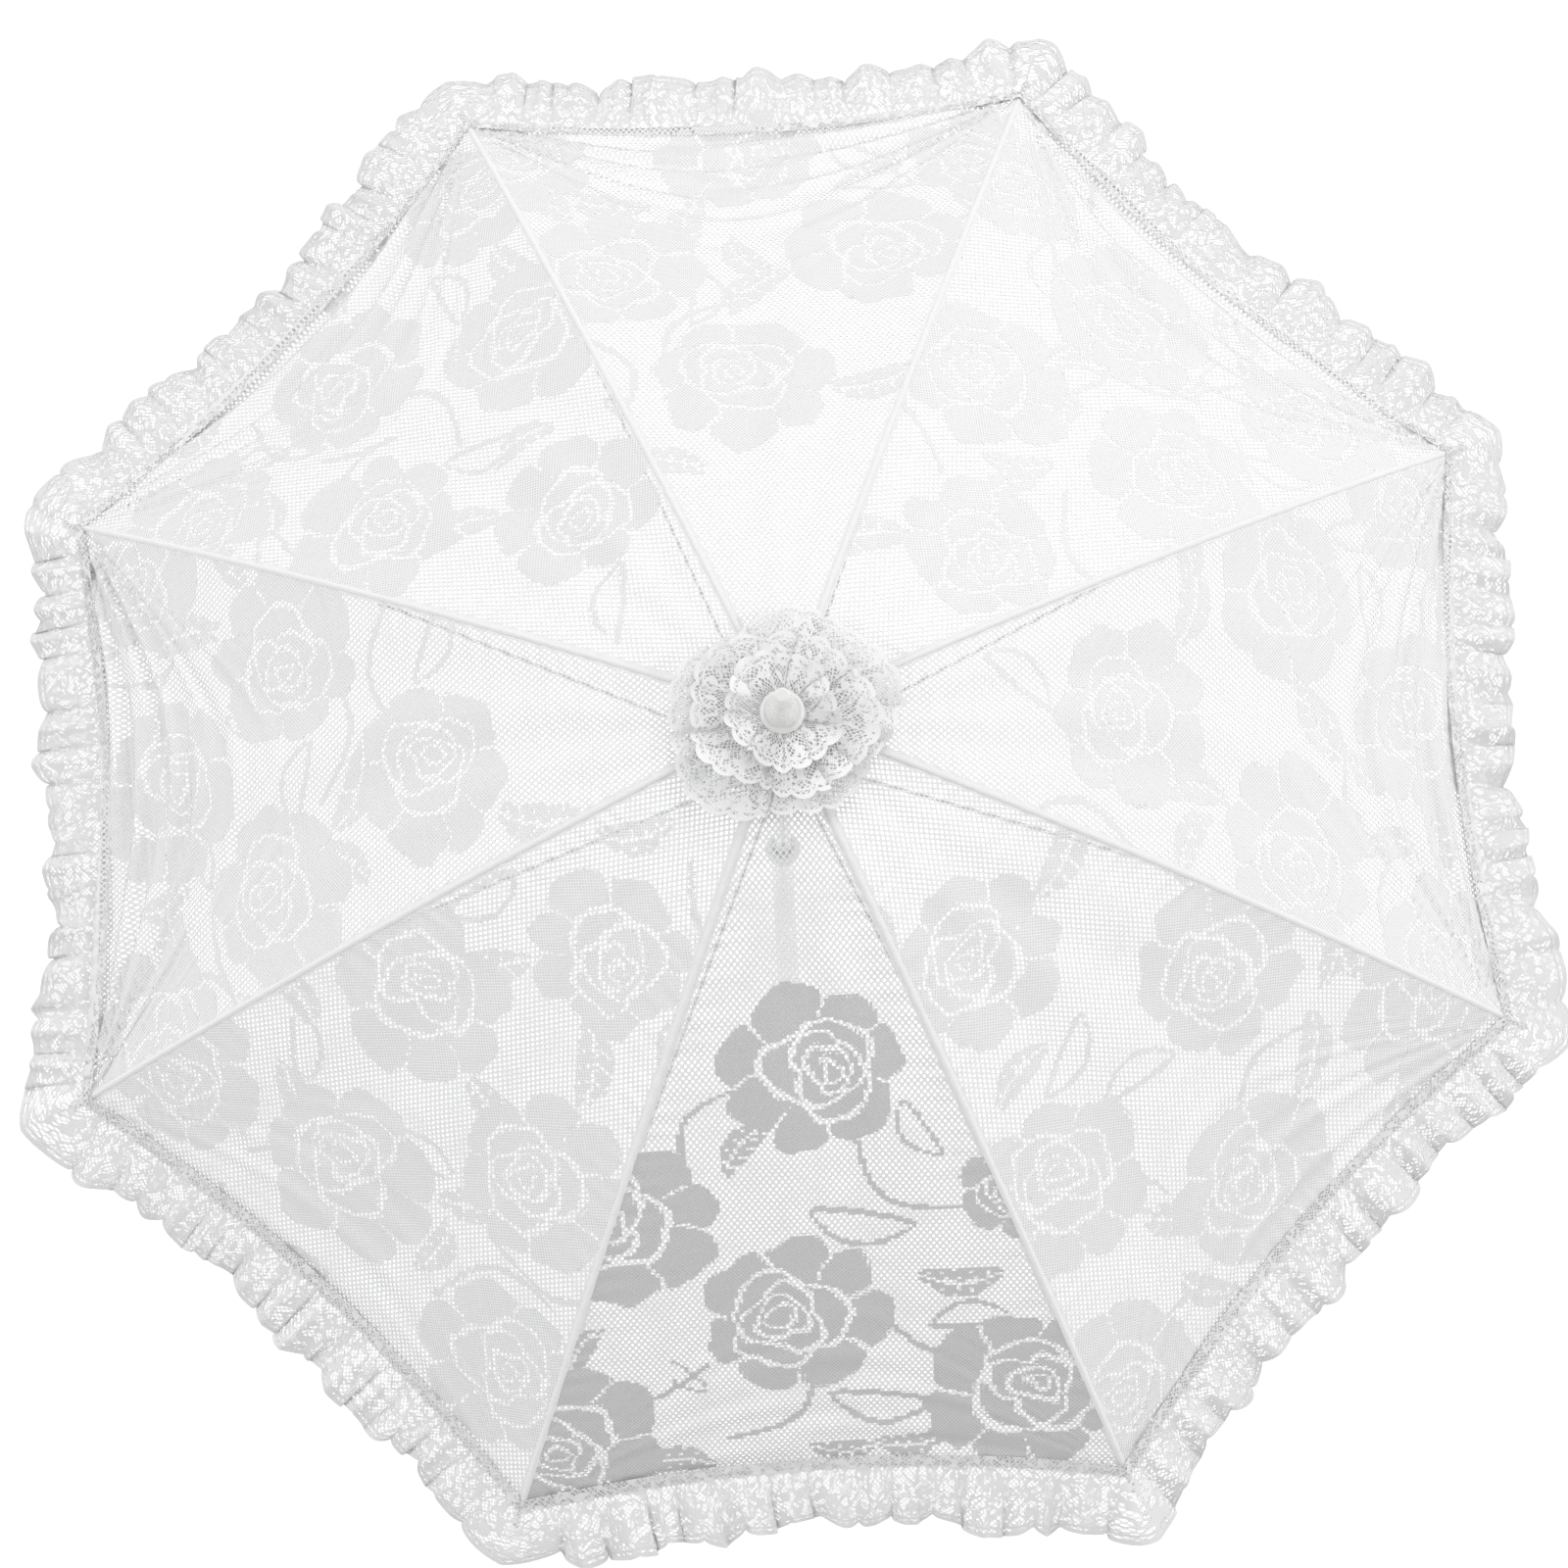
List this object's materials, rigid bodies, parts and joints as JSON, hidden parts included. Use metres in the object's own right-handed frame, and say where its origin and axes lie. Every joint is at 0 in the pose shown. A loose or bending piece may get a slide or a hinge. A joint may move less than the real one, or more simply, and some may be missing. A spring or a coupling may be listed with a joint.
{
  "type": "lace parasol",
  "caption": "Open white lace parasol with a net cover, gathered hem frill, folding steel ribs and stretchers, sliding runner and crook handle.",
  "frame": {"origin": "on the shaft axis, in the middle of the hand grip", "axes": "+Z along the shaft towards the ferrule; -Y is the side that the crook opens to"},
  "size_m": [0.7856, 0.7856, 0.671],
  "materials": {
    "cover_net": "white jacquard net with woven roses",
    "frill_lace": "white gathered lace",
    "rosette_lace": "white gathered lace",
    "rib_steel": "plated spring steel",
    "shaft_steel": "bright plated tube",
    "white_nylon": "moulded white nylon",
    "white_plastic": "glossy white moulded plastic",
    "collar_metal": "satin metal"
  },
  "bodies": {
    "shaft": {"shaft_tube": "shaft_steel", "crown": "white_nylon", "crown_ring": "rib_steel", "rosette": "rosette_lace", "top_cap": "white_nylon", "ferrule": "white_plastic", "handle_collar": "collar_metal", "crook_handle": "white_plastic", "handle_end_cap": "white_plastic"},
    "runner": {"runner": "white_nylon"},
    "top_catch": {"top_catch": "rib_steel"},
    "bottom_catch": {"bottom_catch": "rib_steel"},
    "rib_1": {"rib_1": "rib_steel", "rivet_1": "rib_steel", "rib_tip_1": "rib_steel", "cover_1": "cover_net", "frill_1": "frill_lace"},
    "stretcher_1": {"stretcher_1": "rib_steel"},
    "rib_2": {"rib_2": "rib_steel", "rivet_2": "rib_steel", "rib_tip_2": "rib_steel", "cover_2": "cover_net", "frill_2": "frill_lace"},
    "stretcher_2": {"stretcher_2": "rib_steel"},
    "rib_3": {"rib_3": "rib_steel", "rivet_3": "rib_steel", "rib_tip_3": "rib_steel", "cover_3": "cover_net", "frill_3": "frill_lace"},
    "stretcher_3": {"stretcher_3": "rib_steel"},
    "rib_4": {"rib_4": "rib_steel", "rivet_4": "rib_steel", "rib_tip_4": "rib_steel", "cover_4": "cover_net", "frill_4": "frill_lace"},
    "stretcher_4": {"stretcher_4": "rib_steel"},
    "rib_5": {"rib_5": "rib_steel", "rivet_5": "rib_steel", "rib_tip_5": "rib_steel", "cover_5": "cover_net", "frill_5": "frill_lace"},
    "stretcher_5": {"stretcher_5": "rib_steel"},
    "rib_6": {"rib_6": "rib_steel", "rivet_6": "rib_steel", "rib_tip_6": "rib_steel", "cover_6": "cover_net", "frill_6": "frill_lace"},
    "stretcher_6": {"stretcher_6": "rib_steel"},
    "rib_7": {"rib_7": "rib_steel", "rivet_7": "rib_steel", "rib_tip_7": "rib_steel", "cover_7": "cover_net", "frill_7": "frill_lace"},
    "stretcher_7": {"stretcher_7": "rib_steel"},
    "rib_8": {"rib_8": "rib_steel", "rivet_8": "rib_steel", "rib_tip_8": "rib_steel", "cover_8": "cover_net", "frill_8": "frill_lace"},
    "stretcher_8": {"stretcher_8": "rib_steel"}
  },
  "joints": [
    {"name": "runner_slide", "type": "slide", "parent": "shaft", "child": "runner", "axis": [0, 0, -1], "range_m": [0, 0.27858]},
    {"name": "top_catch_press", "type": "slide", "parent": "shaft", "child": "top_catch", "axis": [0, 1, 0], "range_m": [0, 0.0028], "stiffness_N_per_m": 400},
    {"name": "bottom_catch_press", "type": "slide", "parent": "shaft", "child": "bottom_catch", "axis": [0, 1, 0], "range_m": [0, 0.0028], "stiffness_N_per_m": 400},
    {"name": "rib_hinge_1", "type": "hinge", "parent": "shaft", "child": "rib_1", "pos_m": [-0.0044, -0.01062, 0.505], "axis": [0.9239, -0.3827, 0], "range_deg": [0, 63], "deforming": ["cover_1", "frill_1"]},
    {"name": "stretcher_hinge_1", "type": "hinge", "parent": "rib_1", "child": "stretcher_1", "pos_m": [-0.07754, -0.1872, 0.44823], "axis": [0.9239, -0.3827, 0], "range_deg": [-126, 0]},
    {"name": "rib_hinge_2", "type": "hinge", "parent": "shaft", "child": "rib_2", "pos_m": [0.0044, -0.01062, 0.505], "axis": [0.9239, 0.3827, 0], "range_deg": [0, 63], "deforming": ["cover_2", "frill_2"]},
    {"name": "stretcher_hinge_2", "type": "hinge", "parent": "rib_2", "child": "stretcher_2", "pos_m": [0.07754, -0.1872, 0.44823], "axis": [0.9239, 0.3827, 0], "range_deg": [-126, 0]},
    {"name": "rib_hinge_3", "type": "hinge", "parent": "shaft", "child": "rib_3", "pos_m": [0.01062, -0.0044, 0.505], "axis": [0.3827, 0.9239, 0], "range_deg": [0, 63], "deforming": ["cover_3", "frill_3"]},
    {"name": "stretcher_hinge_3", "type": "hinge", "parent": "rib_3", "child": "stretcher_3", "pos_m": [0.1872, -0.07754, 0.44823], "axis": [0.3827, 0.9239, 0], "range_deg": [-126, 0]},
    {"name": "rib_hinge_4", "type": "hinge", "parent": "shaft", "child": "rib_4", "pos_m": [0.01062, 0.0044, 0.505], "axis": [-0.3827, 0.9239, 0], "range_deg": [0, 63], "deforming": ["cover_4", "frill_4"]},
    {"name": "stretcher_hinge_4", "type": "hinge", "parent": "rib_4", "child": "stretcher_4", "pos_m": [0.1872, 0.07754, 0.44823], "axis": [-0.3827, 0.9239, 0], "range_deg": [-126, 0]},
    {"name": "rib_hinge_5", "type": "hinge", "parent": "shaft", "child": "rib_5", "pos_m": [0.0044, 0.01062, 0.505], "axis": [-0.9239, 0.3827, 0], "range_deg": [0, 63], "deforming": ["cover_5", "frill_5"]},
    {"name": "stretcher_hinge_5", "type": "hinge", "parent": "rib_5", "child": "stretcher_5", "pos_m": [0.07754, 0.1872, 0.44823], "axis": [-0.9239, 0.3827, 0], "range_deg": [-126, 0]},
    {"name": "rib_hinge_6", "type": "hinge", "parent": "shaft", "child": "rib_6", "pos_m": [-0.0044, 0.01062, 0.505], "axis": [-0.9239, -0.3827, 0], "range_deg": [0, 63], "deforming": ["cover_6", "frill_6"]},
    {"name": "stretcher_hinge_6", "type": "hinge", "parent": "rib_6", "child": "stretcher_6", "pos_m": [-0.07754, 0.1872, 0.44823], "axis": [-0.9239, -0.3827, 0], "range_deg": [-126, 0]},
    {"name": "rib_hinge_7", "type": "hinge", "parent": "shaft", "child": "rib_7", "pos_m": [-0.01062, 0.0044, 0.505], "axis": [-0.3827, -0.9239, 0], "range_deg": [0, 63], "deforming": ["cover_7", "frill_7"]},
    {"name": "stretcher_hinge_7", "type": "hinge", "parent": "rib_7", "child": "stretcher_7", "pos_m": [-0.1872, 0.07754, 0.44823], "axis": [-0.3827, -0.9239, 0], "range_deg": [-126, 0]},
    {"name": "rib_hinge_8", "type": "hinge", "parent": "shaft", "child": "rib_8", "pos_m": [-0.01062, -0.0044, 0.505], "axis": [0.3827, -0.9239, 0], "range_deg": [0, 63], "deforming": ["cover_8", "frill_8"]},
    {"name": "stretcher_hinge_8", "type": "hinge", "parent": "rib_8", "child": "stretcher_8", "pos_m": [-0.1872, -0.07754, 0.44823], "axis": [0.3827, -0.9239, 0], "range_deg": [-126, 0]}
  ],
  "couplings": [
    {"joint": "rib_hinge_1", "follows": "runner_slide", "rad_per_m": 3.947},
    {"joint": "stretcher_hinge_1", "follows": "runner_slide", "rad_per_m": -7.894},
    {"joint": "rib_hinge_2", "follows": "runner_slide", "rad_per_m": 3.947},
    {"joint": "stretcher_hinge_2", "follows": "runner_slide", "rad_per_m": -7.894},
    {"joint": "rib_hinge_3", "follows": "runner_slide", "rad_per_m": 3.947},
    {"joint": "stretcher_hinge_3", "follows": "runner_slide", "rad_per_m": -7.894},
    {"joint": "rib_hinge_4", "follows": "runner_slide", "rad_per_m": 3.947},
    {"joint": "stretcher_hinge_4", "follows": "runner_slide", "rad_per_m": -7.894},
    {"joint": "rib_hinge_5", "follows": "runner_slide", "rad_per_m": 3.947},
    {"joint": "stretcher_hinge_5", "follows": "runner_slide", "rad_per_m": -7.894},
    {"joint": "rib_hinge_6", "follows": "runner_slide", "rad_per_m": 3.947},
    {"joint": "stretcher_hinge_6", "follows": "runner_slide", "rad_per_m": -7.894},
    {"joint": "rib_hinge_7", "follows": "runner_slide", "rad_per_m": 3.947},
    {"joint": "stretcher_hinge_7", "follows": "runner_slide", "rad_per_m": -7.894},
    {"joint": "rib_hinge_8", "follows": "runner_slide", "rad_per_m": 3.947},
    {"joint": "stretcher_hinge_8", "follows": "runner_slide", "rad_per_m": -7.894}
  ]
}
